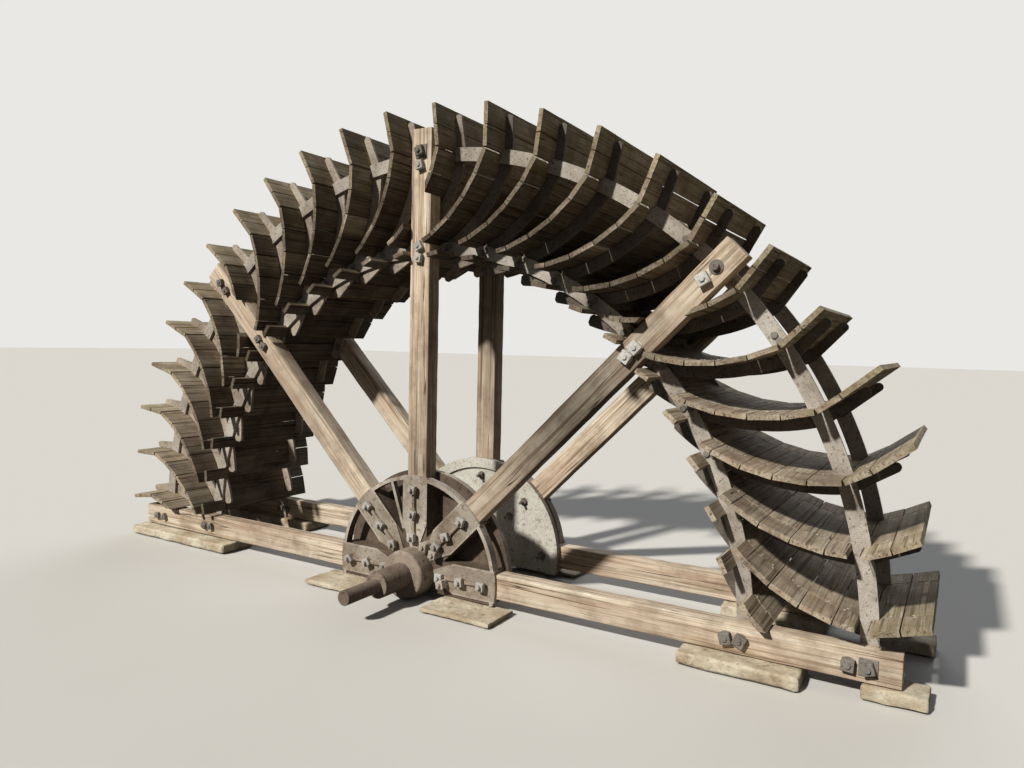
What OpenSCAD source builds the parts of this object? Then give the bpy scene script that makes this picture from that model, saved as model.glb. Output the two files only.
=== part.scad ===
// Upper half of an old undershot mill wheel with curved plank blades, shown as a fixed display.
// It lies on foundation stones. The wheel turns in the XZ plane and its shaft runs along Y.
// The origin is on the ground, straight below the shaft, midway between the two sides.

/* [Wheel] */
// Length of an arm, from the shaft's centre to its outer end
arm_reach = 2650; // [2500:10:2700]
// Width of the wheel over the outer faces of its arms
wheel_w = 856; // [760:2:1100]
// Height of the shaft's centre above the ground
axle_h = 150; // [130:1:220]

/* [Arms] */
// Width of an arm, seen from the front
arm_w = 147; // [130:1:160]
// Thickness of an arm, along the shaft
arm_t = 105; // [90:1:125]
// Distance from the shaft's centre to the inner end of an arm
arm_root = 186; // [184:1:240]

/* [Iron rings] */
// How far inside the arms' ends the outer ring's middle line lies
outer_ring_in = 145; // [120:5:180]
// Distance between the middle lines of the outer and the inner ring
ring_apart = 555; // [540:5:575]
// Radial width of a ring
ring_w = 80; // [60:1:90]
// Thickness of a ring
ring_t = 20; // [12:1:30]

/* [Blades] */
// Thickness of the blade planks
plank_t = 28; // [22:1:34]
// How far the blades reach past the arms' outer faces
blade_over = 67; // [40:1:110]
// How far the blade tips reach past the arms' ends
tip_over = 115; // [70:5:210]
// How far outside the outer ring's middle line the knee lies, where straight planks meet curved ones
knee_out = 12; // [0:1:30]
// How far the knee lies behind the tip's own radius
knee_back = 42; // [30:1:60]
// Radius of the curved planks
blade_r = 920; // [860:5:980]
// Distance from the knee to the blade's inner end, along the tip's own radius
blade_depth = 685; // [670:5:700]
// How far the blade's inner end stands from the tip's own radius, towards the hollow side
blade_rise = 486; // [470:2:500]
// Angle from the upright arm to the first blade tip after it
blade_phase = 2.72; // [1:0.01:4]
// How much further the two longest blades reach
long_reach = 82; // [0:2:110]
// Clearance of the cuts that let the arms and rings through the blades
cut_gap = 2; // [1:0.5:4]
// Radial width of the gap that the near ends leave open in front of an inner ring
lip_gap = 57; // [40:1:70]
// Radial width of the gap that the last two blades also leave open in front of the outer ring
rim_gap = 50; // [30:1:60]
// Clearance between the sawn edge of the blades and the level arms
saw_gap = 9; // [8:0.5:12]

/* [Blade bearers] */
// Height of a bearer along its curve
bearer_h = 64; // [50:1:75]
// How far a bearer ends short of the blade's inner end
bearer_lip_short = 52; // [30:1:80]
// Height of a bearer's straight outer end
bearer_tip_h = 46; // [36:1:60]
// Thickness of a bearer
bearer_t = 18; // [12:1:24]
// How far a bearer ends short of the blade tip
bearer_short = 30; // [15:1:60]
// Clearance between a bearer and its planks
seat_gap = 0.3; // [0.2:0.1:0.5]

/* [Hub castings] */
// Radius of a hub's back disc
disc_r = 603; // [590:1:640]
// Thickness of the back disc
disc_t = 24; // [18:1:34]
// Radial width of the raised rim on the back disc
rim_w = 66; // [50:1:90]
// How far the rim stands above the back disc
rim_h = 16; // [8:1:24]
// Radius of the front hoop
hoop_r = 576; // [566:1:579]
// Radial thickness of the front hoop
hoop_t = 22; // [16:1:30]
// Depth of the front hoop, along the shaft
hoop_d = 46; // [30:1:60]
// Wall thickness of the arm pockets
pocket_wall = 14; // [10:1:18]
// Radius of the outer ends of the pockets' front plates
plate_r = 582; // [580:1:588]
// How far a front plate's edge stands out over the pocket walls
plate_lip = 3; // [2:0.5:6]
// Width of a pocket's front plate at its inner end
pocket_nose = 46; // [36:1:70]
// Distance from the shaft's centre to the flat lower edge of a hub
hub_drop = 109; // [104:1:116]
// Radius of the central boss
boss_r = 146; // [140:1:155]
// How far the boss stands out from the arms' outer faces
boss_out = 132; // [90:1:170]
// How far the boss stands out behind the rim
boss_back = 12; // [6:1:30]
// Clearance between the arms and their pockets
pocket_gap = 0.3; // [0.2:0.1:0.5]

/* [Shaft] */
// Radius of the shaft's body
shaft_r = 77; // [70:0.5:84]
// How far the shaft's body reaches past the arms' outer faces
shaft_out = 358; // [300:1:420]
// Radius of the end journals
journal_r = 41.5; // [36:0.5:50]
// Length of an end journal
journal_l = 265; // [200:1:320]

/* [Foundation stones] */
// Length of the long stone under a left arm
left_stone_l = 1080; // [900:10:1200]
// Length of the stone under a right arm
right_stone_l = 580; // [450:10:700]
// Length of the stone under the end of a right arm
end_stone_l = 280; // [220:10:360]
// How far the end stone reaches past the arm's end
end_stone_over = 112; // [40:2:150]
// Length of the stone under the left foot of a hub
left_foot_l = 380; // [320:10:440]
// Length of the stone under the right foot of a hub
right_foot_l = 480; // [400:10:520]
// How far the left stone reaches past the arm's end
left_stone_out = 50; // [20:5:120]
// Distance from the shaft's centre to the stone under a right arm
right_stone_x = 1665; // [1500:5:1750]
// How far a stone under a hub's foot reaches past the hub
hub_stone_over = 90; // [40:5:120]
// Width of a stone, along the shaft
stone_w = 290; // [240:5:320]
// How far the stones under the arms stand out in front of the blades' ends
stone_out = 45; // [20:1:80]
// How far the end stone stands out in front of the arm
end_stone_out = 20; // [10:1:60]
// How far the foot stones stand out in front of the arms
foot_front = 250; // [220:5:270]
// Cut-off corner of a stone
stone_corner = 45; // [20:1:60]

/* [Hidden] */
BLADES = 24;
PITCH = 180 / BLADES;

WOOD = "burlywood";
DARK_WOOD = "saddlebrown";
IRON = "gray";
RUST = "sienna";
STONE = "tan";
FINE = 128;
outer_ring_r = arm_reach - outer_ring_in;
inner_ring_r = outer_ring_r - ring_apart;
tip_r = arm_reach + tip_over;
knee_r = outer_ring_r + knee_out;
arm_face = wheel_w / 2;
arm_back = arm_face - arm_t;
ring_back = arm_back - ring_t;
blade_end = arm_face + blade_over;
saw_z = arm_w / 2 + saw_gap;
half_t = plank_t / 2;
nose_cut = 14;
joint_lap = 1;
boss_lap = 20;
hoop_lap = 10;
pocket_half = arm_w / 2 + pocket_gap + pocket_wall;
// The blade's own frame: X runs out along the tip's radius, Y towards the blade's hollow side
knee = [knee_r, -knee_back];
tip = [tip_r, 0];
lip = [knee_r - blade_depth, blade_rise];
chord = lip - knee;
chord_side = [chord.y, -chord.x] / norm(chord);
curve_c = (knee + lip) / 2 + sqrt(pow(blade_r, 2) - pow(norm(chord) / 2, 2)) * chord_side;
knee_a = direction(knee - curve_c);
lap_a = knee_a - asin(joint_lap / blade_r);
lip_a = direction(lip - curve_c);
tip_dir = (tip - knee) / norm(tip - knee);
tip_side = [tip_dir.y, -tip_dir.x];

function blade_name(i) = str("blade_", i < 10 ? "0" : "", i);
function blade_angle(i) = 180 - blade_phase - PITCH * (i - 1);
function polar(r, a) = r * [cos(a), sin(a)];
function direction(v) = atan2(v.y, v.x);

// Stands a flat outline up in the wheel's plane, from y_front back to y_front + t
module upright(y_front, t) {
    translate([0, y_front + t, axle_h])
        rotate([90, 0, 0])
            linear_extrude(height = t)
                children();
}

module far_side() {
    mirror([0, 1, 0])
        children();
}

// Keeps what lies above the sawn edge of the half wheel
module above(z) {
    intersection() {
        children();
        translate([-4 * arm_reach, z])
            square([8 * arm_reach, 4 * arm_reach]);
    }
}

module arm(a) {
    color(WOOD)
        upright(-arm_face, arm_t)
            rotate(a)
                translate([arm_root, -arm_w / 2])
                    square([arm_reach - arm_root, arm_w]);
}

module ring_outline(r, w) {
    difference() {
        circle(r = r + w / 2, $fn = FINE);
        circle(r = r - w / 2, $fn = FINE);
    }
}

module ring(r) {
    color(IRON)
        upright(-arm_back, ring_t)
            above(-arm_w / 2)
                ring_outline(r, ring_w);
}

// The part of the plane that the blade's curve spans, as seen from its centre
module curve_wedge(a0, a1) {
    translate(curve_c)
        polygon([
            [0, 0],
            polar(3 * blade_r, a0),
            polar(3 * blade_r, (a0 + a1) / 2),
            polar(3 * blade_r, a1)
        ]);
}

module curve_band(r_in, r_out, a0) {
    intersection() {
        translate(curve_c)
            difference() {
                circle(r = r_out, $fn = FINE);
                circle(r = r_in, $fn = FINE);
            }
        curve_wedge(a0, knee_a);
    }
}

// Outline of one blade: two straight outer planks, then the curved ones
module blade_outline(extra) {
    end = tip + extra * tip_dir;
    curve_band(blade_r - half_t, blade_r + half_t, lip_a);
    polygon([
        knee + half_t * tip_side,
        end + half_t * tip_side,
        end - half_t * tip_side,
        knee - half_t * tip_side,
        curve_c + polar(blade_r + half_t - joint_lap, lap_a)
    ]);
}

// Cuts that let the raised arms and the rings of the near side through the blades
module passages() {
    ring_cut = ring_t + 2 * cut_gap;
    ring_y = -arm_back - cut_gap;
    edge_y = -blade_end - 1;
    for (a = [45, 90, 135])
        upright(edge_y, blade_over + arm_t + cut_gap + 1)
            rotate(a)
                translate([0, -arm_w / 2 - cut_gap])
                    square([2 * arm_reach, arm_w + 2 * cut_gap]);
    upright(ring_y, ring_cut)
        ring_outline(outer_ring_r, ring_w + 2 * cut_gap);
    upright(ring_y, ring_cut)
        ring_outline(inner_ring_r, ring_w + 2 * cut_gap);
}

// What is cut away in front of the near rings, where the near ends stay open
module near_openings(open_outer) {
    front_y = -blade_end - 1;
    depth = blade_end + 1 - ring_back;
    ring_edge = ring_w / 2 + cut_gap;
    upright(front_y, depth)
        ring_outline(inner_ring_r - ring_edge + lip_gap / 2, lip_gap);
    if (open_outer)
        upright(front_y, depth)
            ring_outline(outer_ring_r - ring_edge + rim_gap / 2, rim_gap);
}

module blade(i) {
    extra = i == 21 || i == 22 ? long_reach : 0;
    open_outer = i == 23 || i == 24;
    color(DARK_WOOD)
        difference() {
            upright(-blade_end, 2 * blade_end)
                above(saw_z)
                    rotate(blade_angle(i))
                        blade_outline(extra);
            passages();
            near_openings(open_outer);
            far_side() passages();
        }
}

// A triangle that takes one corner off a bearer's inner end
module nose_corner(r, a, cut) {
    step = asin(nose_cut / r);
    translate(curve_c)
        polygon([
            polar(r - 2 * cut, a - step),
            polar(r + cut, a + 2 * step),
            polar(r + 2 * cut, a - 2 * step)
        ]);
}

// Outline of one bearer, which follows the blade's back from near its tip to its inner end
module bearer_outline() {
    seat = half_t + seat_gap;
    seat_r = blade_r + seat;
    end_a = lip_a + asin(bearer_lip_short / seat_r);
    tip_end = tip - (bearer_short + bearer_tip_h / 2) * tip_dir;
    difference() {
        curve_band(seat_r, seat_r + bearer_h, end_a);
        nose_corner(seat_r, end_a, -nose_cut);
        nose_corner(seat_r + bearer_h, end_a, nose_cut);
    }
    polygon([
        knee + seat * tip_side,
        tip_end + seat * tip_side,
        tip_end + (seat + bearer_tip_h) * tip_side,
        curve_c + polar(seat_r + bearer_h - joint_lap, lap_a),
        curve_c + polar(seat_r + joint_lap, lap_a)
    ]);
    translate(tip_end + (seat + bearer_tip_h / 2) * tip_side)
        circle(r = bearer_tip_h / 2, $fn = 32);
}

module bearers() {
    color(IRON)
        for (i = [1:BLADES + 1])
            upright(-ring_back, bearer_t)
                above(saw_z)
                    rotate(blade_angle(i))
                        bearer_outline();
}

// The plates that close the pockets in front of the arms
module pocket_fronts() {
    nose_x = boss_r - boss_lap;
    wide_x = 2 * boss_r;
    half = pocket_half + plate_lip;
    for (a = [0:45:180])
        rotate(a)
            intersection() {
                circle(r = plate_r, $fn = FINE);
                polygon([
                    [nose_x, -pocket_nose / 2],
                    [nose_x, pocket_nose / 2],
                    [wide_x, half],
                    [2 * plate_r, half],
                    [2 * plate_r, -half],
                    [wide_x, -half]
                ]);
            }
}

// The flange along the flat edge, where the other half of the hub was bolted on
module joint_flange() {
    intersection() {
        circle(r = hoop_r - hoop_t / 2, $fn = FINE);
        translate([-hoop_r, -2 * hub_drop])
            square([2 * hoop_r, 2 * hub_drop - arm_w / 2 + pocket_gap]);
    }
}

// Blocks that the arms' pockets are cut from
module pocket_blocks() {
    for (a = [0:45:180])
        rotate(a)
            translate([boss_r - boss_lap, -pocket_half])
                square([hoop_r - hoop_lap - boss_r + boss_lap, 2 * pocket_half]);
}

// The cast half disc with its pockets, before it is bored for the shaft
module half_casting() {
    front_y = -arm_face - pocket_wall;
    lap_y = -arm_face - pocket_wall / 2;
    plate_y = -arm_face - pocket_gap;
    disc_y = -arm_back + pocket_gap;
    difference() {
        union() {
            upright(front_y, pocket_wall) {
                pocket_fronts();
                ring_outline(hoop_r - hoop_t / 2, hoop_t);
            }
            upright(lap_y, hoop_d)
                ring_outline(hoop_r - hoop_t / 2, hoop_t);
            upright(lap_y, arm_t + pocket_wall / 2 + disc_t / 2) {
                pocket_blocks();
                joint_flange();
            }
            upright(disc_y, disc_t + rim_h - pocket_gap)
                circle(r = disc_r, $fn = FINE);
        }
        upright(-arm_back + disc_t, rim_h + 1)
            circle(r = disc_r - rim_w, $fn = FINE);
        for (a = [0:45:180])
            upright(plate_y, disc_y - plate_y)
                rotate(a)
                    translate([arm_root - pocket_gap, -arm_w / 2 - pocket_gap])
                        square([arm_reach, arm_w + 2 * pocket_gap]);
        translate([-arm_reach, -wheel_w, axle_h - hub_drop - arm_reach])
            cube([2 * arm_reach, wheel_w, arm_reach]);
    }
}

module hub() {
    front_y = -arm_face - boss_out;
    boss_l = boss_out + arm_t + disc_t + rim_h + boss_back;
    color(IRON)
        difference() {
            union() {
                half_casting();
                upright(front_y, boss_l)
                    circle(r = boss_r, $fn = FINE);
            }
            upright(front_y - 1, boss_l + 2)
                circle(r = shaft_r + seat_gap, $fn = FINE);
        }
}

module shaft() {
    color(RUST) {
        body_y = arm_face + shaft_out;
        upright(-body_y, 2 * body_y)
            circle(r = shaft_r, $fn = FINE);
        for (y = [-body_y - journal_l, body_y])
            upright(y, journal_l)
                circle(r = journal_r, $fn = FINE);
    }
}

// One slab, from its front left corner
module stone(x, y, l, w, h) {
    c = stone_corner;
    translate([x, y, 0])
        linear_extrude(height = h)
            polygon([
                [c, 0], [l - c / 2, 0], [l, 1.4 * c], [l, w - c],
                [l - c, w], [1.5 * c, w], [0, w - c], [0, c]
            ]);
}

module stones() {
    arm_seat = axle_h - arm_w / 2;
    hub_seat = axle_h - hub_drop;
    left_x = -arm_reach - left_stone_out;
    end_x = arm_reach + end_stone_over;
    foot_x = disc_r + hub_stone_over;
    front_y = -blade_end - stone_out;
    foot_y = -arm_face - foot_front;
    stone(left_x, front_y, left_stone_l, stone_w, arm_seat);
    stone(right_stone_x, front_y, right_stone_l, stone_w, arm_seat);
    stone(end_x - end_stone_l, -arm_face - end_stone_out, end_stone_l, stone_w, arm_seat);
    stone(-foot_x, foot_y, left_foot_l, stone_w, hub_seat);
    stone(foot_x - right_foot_l, foot_y, right_foot_l, stone_w, hub_seat);
}

module foundation_stones() {
    color(STONE) {
        stones();
        far_side() stones();
    }
}

shaft();
hub();  // near_hub
far_side() hub();  // far_hub
arm(0);  // near_arm_right
arm(45);  // near_arm_upper_right
arm(90);  // near_arm_top
arm(135);  // near_arm_upper_left
arm(180);  // near_arm_left
far_side() arm(0);  // far_arm_right
far_side() arm(45);  // far_arm_upper_right
far_side() arm(90);  // far_arm_top
far_side() arm(135);  // far_arm_upper_left
far_side() arm(180);  // far_arm_left
ring(outer_ring_r);  // near_outer_ring
ring(inner_ring_r);  // near_inner_ring
bearers();  // near_bearers
far_side() ring(outer_ring_r);  // far_outer_ring
far_side() ring(inner_ring_r);  // far_inner_ring
far_side() bearers();  // far_bearers
for (i = [1:BLADES])
    blade(i);
blade(BLADES + 1);  // cut_blade
foundation_stones();
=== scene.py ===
import bpy
import math
import random
from mathutils import Matrix, Vector


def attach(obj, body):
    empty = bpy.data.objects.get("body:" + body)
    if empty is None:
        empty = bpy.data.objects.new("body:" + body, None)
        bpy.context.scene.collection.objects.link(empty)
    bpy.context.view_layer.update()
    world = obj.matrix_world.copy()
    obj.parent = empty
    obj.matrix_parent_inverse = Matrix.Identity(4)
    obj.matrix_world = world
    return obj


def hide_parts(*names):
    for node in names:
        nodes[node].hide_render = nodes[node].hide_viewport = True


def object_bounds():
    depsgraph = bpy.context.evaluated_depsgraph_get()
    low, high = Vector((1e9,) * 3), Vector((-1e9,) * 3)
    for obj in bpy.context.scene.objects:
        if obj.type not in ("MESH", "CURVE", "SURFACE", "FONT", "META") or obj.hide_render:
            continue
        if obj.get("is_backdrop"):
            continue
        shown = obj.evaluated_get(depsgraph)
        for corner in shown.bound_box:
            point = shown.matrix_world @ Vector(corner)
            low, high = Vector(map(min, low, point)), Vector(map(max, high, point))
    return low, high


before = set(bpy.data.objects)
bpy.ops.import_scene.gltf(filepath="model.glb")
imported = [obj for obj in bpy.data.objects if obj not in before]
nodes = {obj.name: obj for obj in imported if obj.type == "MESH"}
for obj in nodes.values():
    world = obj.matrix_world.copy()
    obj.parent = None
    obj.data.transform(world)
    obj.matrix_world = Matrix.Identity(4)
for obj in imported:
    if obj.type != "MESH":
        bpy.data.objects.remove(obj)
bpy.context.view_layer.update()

# The viewpoint: a hand-held telephone at eye height, in front of the wheel and to its right.
# It was solved from the ends of the near arms; the picture is 1024 by 768.
EYE, LENS_MM, FARTHEST = (2.813, -4.054, 1.542), 26.7, 200
bpy.ops.object.select_all(action="DESELECT")
bpy.ops.object.camera_add()
camera = bpy.context.object
yaw, pitch, roll = math.radians(30.73), math.radians(3.08), math.radians(1.25)
ahead = Vector((-math.sin(yaw) * math.cos(pitch), math.cos(yaw) * math.cos(pitch), -math.sin(pitch)))
level = Vector((math.cos(yaw), math.sin(yaw), 0))
above = level.cross(ahead)
rightward = math.cos(roll) * level + math.sin(roll) * above
upward = math.cos(roll) * above - math.sin(roll) * level
turned = Matrix((rightward, upward, -ahead)).transposed().to_4x4()
camera.matrix_world = Matrix.Translation(EYE) @ turned
camera.data.lens = LENS_MM
camera.data.clip_end = FARTHEST
bpy.context.scene.camera = camera

# The studio: a pale floor and a pale backdrop, with one soft key light from the upper left in front,
# as the light falls in the photograph, a broad weak one behind, and an even fill from all round.
bpy.context.scene.view_settings.view_transform = "Standard"


def linear(code):
    """Turns an sRGB hex colour such as #a08060 into the linear colour that a shader takes."""
    parts = [int(code[i:i + 2], 16) / 255 for i in (1, 3, 5)]
    return tuple(c / 12.92 if c <= 0.04045 else ((c + 0.055) / 1.055) ** 2.4 for c in parts) + (1.0,)


def add(tree, kind, settings, sockets):
    """Adds a node, with its settings, and with each socket given a value or linked to another node's output."""
    made = tree.nodes.new(kind)
    for name, value in settings.items():
        setattr(made, name, value)
    for name, value in sockets.items():
        if isinstance(value, bpy.types.NodeSocket):
            tree.links.new(value, made.inputs[name])
        else:
            made.inputs[name].default_value = value
    return made


def blank_material(name):
    """A new material with an empty node tree."""
    made = bpy.data.materials.new(name)
    made.use_nodes = True
    made.node_tree.nodes.clear()
    return made, made.node_tree


world = bpy.data.worlds.new("studio")
world.use_nodes = True
bpy.context.scene.world = world
tree = world.node_tree
tree.nodes.clear()
seen = add(tree, "ShaderNodeLightPath", {}, {})
mirrored = add(tree, "ShaderNodeMath", {"operation": "MAXIMUM"},
               {0: seen.outputs["Is Camera Ray"], 1: seen.outputs["Is Glossy Ray"]})
passed = add(tree, "ShaderNodeMath", {"operation": "MAXIMUM"},
             {0: mirrored.outputs[0], 1: seen.outputs["Is Transmission Ray"]})
fill = add(tree, "ShaderNodeBackground", {}, {"Color": linear("#f0f5ff"), "Strength": 0.10})
backdrop = add(tree, "ShaderNodeBackground", {}, {"Color": linear("#e9e8e5"), "Strength": 1.0})
both = add(tree, "ShaderNodeMixShader", {},
           {0: passed.outputs[0], 1: fill.outputs[0], 2: backdrop.outputs[0]})
add(tree, "ShaderNodeOutputWorld", {}, {"Surface": both.outputs[0]})

# each lamp: its strength, its width in degrees, its colour and the direction that it stands in
LAMPS = ((4.2, 3, (1.0, 0.965, 0.90), (-0.224, -0.769, 0.600)),
         (1.2, 50, (0.93, 0.96, 1.0), (-0.15, 0.87, 0.47)))
for strength, wide, colour, stands in LAMPS:
    bpy.ops.object.light_add(type="SUN")
    lamp = bpy.context.object
    lamp.data.energy, lamp.data.angle, lamp.data.color = strength, math.radians(wide), colour
    lamp.rotation_euler = Vector(stands).to_track_quat("Z", "Y").to_euler()

# the floor is pale for the camera, and darker for the light that it throws back at the wheel
bpy.ops.mesh.primitive_grid_add(x_subdivisions=8, y_subdivisions=8, size=160)
floor = bpy.context.object
floor.name = "floor"
pale, tree = blank_material("pale studio floor")
seen = add(tree, "ShaderNodeLightPath", {}, {})
matt = add(tree, "ShaderNodeBsdfDiffuse", {}, {"Color": linear("#d6d4cf")})
dull = add(tree, "ShaderNodeBsdfDiffuse", {}, {"Color": linear("#55534d")})
either = add(tree, "ShaderNodeMixShader", {},
             {0: seen.outputs["Is Camera Ray"], 1: dull.outputs[0], 2: matt.outputs[0]})
add(tree, "ShaderNodeOutputMaterial", {}, {"Surface": either.outputs[0]})
floor.data.materials.append(pale)
floor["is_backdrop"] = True


# The arms: ten squared oak beams, five a side, each held in a pocket of an iron hub. They are sawn square
# and have stood outdoors for decades, so their edges are rounded and they are split along the grain.
AXLE = 0.150
ARM_END, ARM_ROOT = 2.650, 0.186
ARM_WIDE, ARM_DEEP, ARM_FRONT = 0.147, 0.105, 0.428
ARM_STRETCHES, ARM_WEAR = 70, 0.007


def weathered(tree, colour, height, strength, depth, roughness, specular, metal=0.0):
    """Ends a material: a colour on a dull skin, with its fibres or pits raised by a height."""
    relief = add(tree, "ShaderNodeBump", {}, {"Height": height, "Strength": strength, "Distance": depth})
    skin = add(tree, "ShaderNodeBsdfPrincipled", {},
               {"Base Color": colour, "Roughness": roughness, "Metallic": metal,
                "Specular IOR Level": specular, "Normal": relief.outputs[0]})
    add(tree, "ShaderNodeOutputMaterial", {}, {"Surface": skin.outputs[0]})


def old_wood(name, colours, streak_mm, crack, moss):
    """Weathered timber: long streaks, fine fibres and dark splits that all follow the board's own length."""
    wood, tree = blank_material(name)
    light, middle, dark, rosy, split = (linear(c) for c in colours)
    place = add(tree, "ShaderNodeTexCoord", {}, {}).outputs["Object"]
    grain, tone, rim, painted_shade = (add(tree, "ShaderNodeAttribute", {"attribute_name": held}, {})
                              for held in ("grain", "tone", "rim", "painted_shade"))
    # patterns drawn out along the grain: how fine along and across it, shift, detail, roughness, distortion
    patterns = []
    for along, across, shift, detail, roughness, distortion in (
            (1.1, 1000 / streak_mm, (0, 0, 0), 6.0, 0.6, 0.5), (5.0, 330.0, (0, 0, 0), 3.0, 0.6, 0.0),
            (0.35, 19.0, (3.1, 1.7, 4.3), 2.0, 0.5, 0.15), (0.9, 11.0, (8.0, 2.0, 5.0), 4.0, 0.55, 0.0)):
        drawn = add(tree, "ShaderNodeMapping", {},
                    {"Vector": grain.outputs["Vector"], "Scale": (along, across, across), "Location": shift})
        patterns.append(add(tree, "ShaderNodeTexNoise", {},
                            {"Vector": drawn.outputs[0], "Scale": 1.0, "Detail": detail,
                             "Roughness": roughness, "Distortion": distortion}).outputs[0])
    streaks, fibres, wavy, bands = patterns
    patches, spots, grime = (
        add(tree, "ShaderNodeTexNoise", {},
            {"Vector": place, "Scale": scale, "Detail": detail, "Roughness": roughness}).outputs[0]
        for scale, detail, roughness in ((2.6, 4.0, 0.6), (13.0, 6.0, 0.7), (4.5, 8.0, 0.68)))
    # splits run where a wavy pattern crosses its middle, and only in some patches of the wood
    offset = add(tree, "ShaderNodeMath", {"operation": "SUBTRACT"}, {0: wavy, 1: 0.5})
    depth = add(tree, "ShaderNodeMath", {"operation": "ABSOLUTE"}, {0: offset.outputs[0]})
    line = add(tree, "ShaderNodeMapRange", {},
               {"Value": depth.outputs[0], "From Min": 0.0, "From Max": crack, "To Min": 1.0, "To Max": 0.0})
    where = add(tree, "ShaderNodeMapRange", {}, {"Value": patches, "From Min": 0.40, "From Max": 0.56})
    splits = add(tree, "ShaderNodeMath", {"operation": "MULTIPLY"}, {0: line.outputs[0], 1: where.outputs[0]})
    grown = add(tree, "ShaderNodeMath", {"operation": "MULTIPLY_ADD"},
                {0: rim.outputs["Fac"], 1: 0.16, 2: spots})
    # coats over the middle tone: pattern, the values at which it starts and is full, its most, its colour
    colour = middle
    for pattern, starts, full, most, coat in (
            (streaks, 0.32, 0.66, 1.0, light), (bands, 0.44, 0.66, 0.75, rosy),
            (streaks, 0.47, 0.33, 0.85, dark), (fibres, 0.56, 0.38, 0.5, dark),
            (grown.outputs[0], 0.56, 0.76, moss, linear("#8c8659")),
            (splits.outputs[0], 0.0, 1.0, 1.0, split), (grime, 0.47, 0.72, 0.8, dark)):
        amount = add(tree, "ShaderNodeMapRange", {},
                     {"Value": pattern, "From Min": starts, "From Max": full, "To Max": most})
        colour = add(tree, "ShaderNodeMix", {"data_type": "RGBA"},
                     {"Factor": amount.outputs[0], 6: colour, 7: coat}).outputs[2]
    # painted shade: this attribute darkens each board's faces where the blade lies in shade
    darker = add(tree, "ShaderNodeMapRange", {}, {"Value": painted_shade.outputs["Fac"], "To Min": 1.0, "To Max": 0.34})
    worth = add(tree, "ShaderNodeMath", {"operation": "MULTIPLY"}, {0: tone.outputs["Fac"], 1: darker.outputs[0]})
    toned_and_shaded = add(tree, "ShaderNodeHueSaturation", {}, {"Value": worth.outputs[0], "Color": colour})
    rise = add(tree, "ShaderNodeMath", {"operation": "MULTIPLY"}, {0: fibres, 1: 0.35})
    dug = add(tree, "ShaderNodeMath", {"operation": "SUBTRACT"}, {0: rise.outputs[0], 1: splits.outputs[0]})
    weathered(tree, toned_and_shaded.outputs[0], dug.outputs[0], strength=0.7, depth=0.003, roughness=0.88, specular=0.15)
    return wood


def settle():
    """Puts the selected objects' place, turn and size into their meshes."""
    bpy.ops.object.transform_apply(location=True, rotation=True, scale=True)


def block(size, place, turn=0.0):
    """Adds a block by its size, the place of its middle and its turn in the wheel's plane."""
    bpy.ops.object.select_all(action="DESELECT")
    bpy.ops.mesh.primitive_cube_add(size=1)
    made = bpy.context.object
    made.scale, made.rotation_euler, made.location = size, (0, -turn, 0), place
    settle()
    return made


def pick_edges(piece, wanted):
    """Selects, in edit mode, the edges whose two ends pass a test."""
    bpy.ops.object.mode_set(mode="EDIT")
    bpy.ops.mesh.select_mode(type="EDGE")
    bpy.ops.mesh.select_all(action="DESELECT")
    bpy.ops.object.mode_set(mode="OBJECT")
    for edge in piece.data.edges:
        edge.select = wanted(*(piece.data.vertices[i].co for i in edge.vertices))
    bpy.ops.object.mode_set(mode="EDIT")


def ease(piece, width, segments, sharp):
    """Rounds the edges that are sharper than an angle in degrees."""
    eased = piece.modifiers.new("eased edges", "BEVEL")
    eased.width, eased.segments, eased.limit_method, eased.angle_limit = width, segments, "ANGLE", math.radians(sharp)
    bpy.ops.object.modifier_apply(modifier=eased.name)


def roughen(piece, texture, strength, mid_level):
    """Moves a surface in and out a little, as weather and rough sawing do."""
    rough = piece.modifiers.new("uneven surface", "DISPLACE")
    rough.texture, rough.texture_coords, rough.strength, rough.mid_level = texture, "GLOBAL", strength, mid_level
    bpy.ops.object.modifier_apply(modifier=rough.name)


def twin(master):
    """A copy of a piece with a mesh of its own."""
    made = master.copy()
    made.data = master.data.copy()
    bpy.context.collection.objects.link(made)
    return made


def mark(piece, name, values, kind="FLOAT"):
    """Keeps a value or a vector for every point of a piece, which its wood's material reads."""
    held = piece.data.attributes.new(name, kind, "POINT")
    held.data.foreach_set("vector" if kind == "FLOAT_VECTOR" else "value", values)


# weathered oak: silver-tan where the sun has bleached it, with brown and rosy streaks and open dark splits
oak = old_wood("weathered oak beam", ("#e6dac7", "#bfac93", "#816d5a", "#b59a83", "#33281f"), 20, 0.012, 0.15)

beam = block((ARM_END - ARM_ROOT, ARM_DEEP, ARM_WIDE), ((ARM_END + ARM_ROOT) / 2, ARM_DEEP / 2 - ARM_FRONT, 0))
pick_edges(beam, lambda a, b: abs(a.x - b.x) > 1)
bpy.ops.mesh.subdivide(number_cuts=ARM_STRETCHES)
bpy.ops.mesh.select_all(action="SELECT")
bpy.ops.mesh.remove_doubles(threshold=0.0001)
bpy.ops.mesh.normals_make_consistent(inside=False)
bpy.ops.object.mode_set(mode="OBJECT")
ease(beam, ARM_WEAR, 3, 40)

clouds = bpy.data.textures.new("weathering", "CLOUDS")
clouds.noise_scale = 0.11
ARMS = {"right": 0, "upper_right": 45, "top": 90, "upper_left": 135, "left": 180}
ARM_TONES = {"right": 1.12, "upper_right": 0.90, "top": 0.93, "upper_left": 1.12, "left": 1.08}
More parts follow.
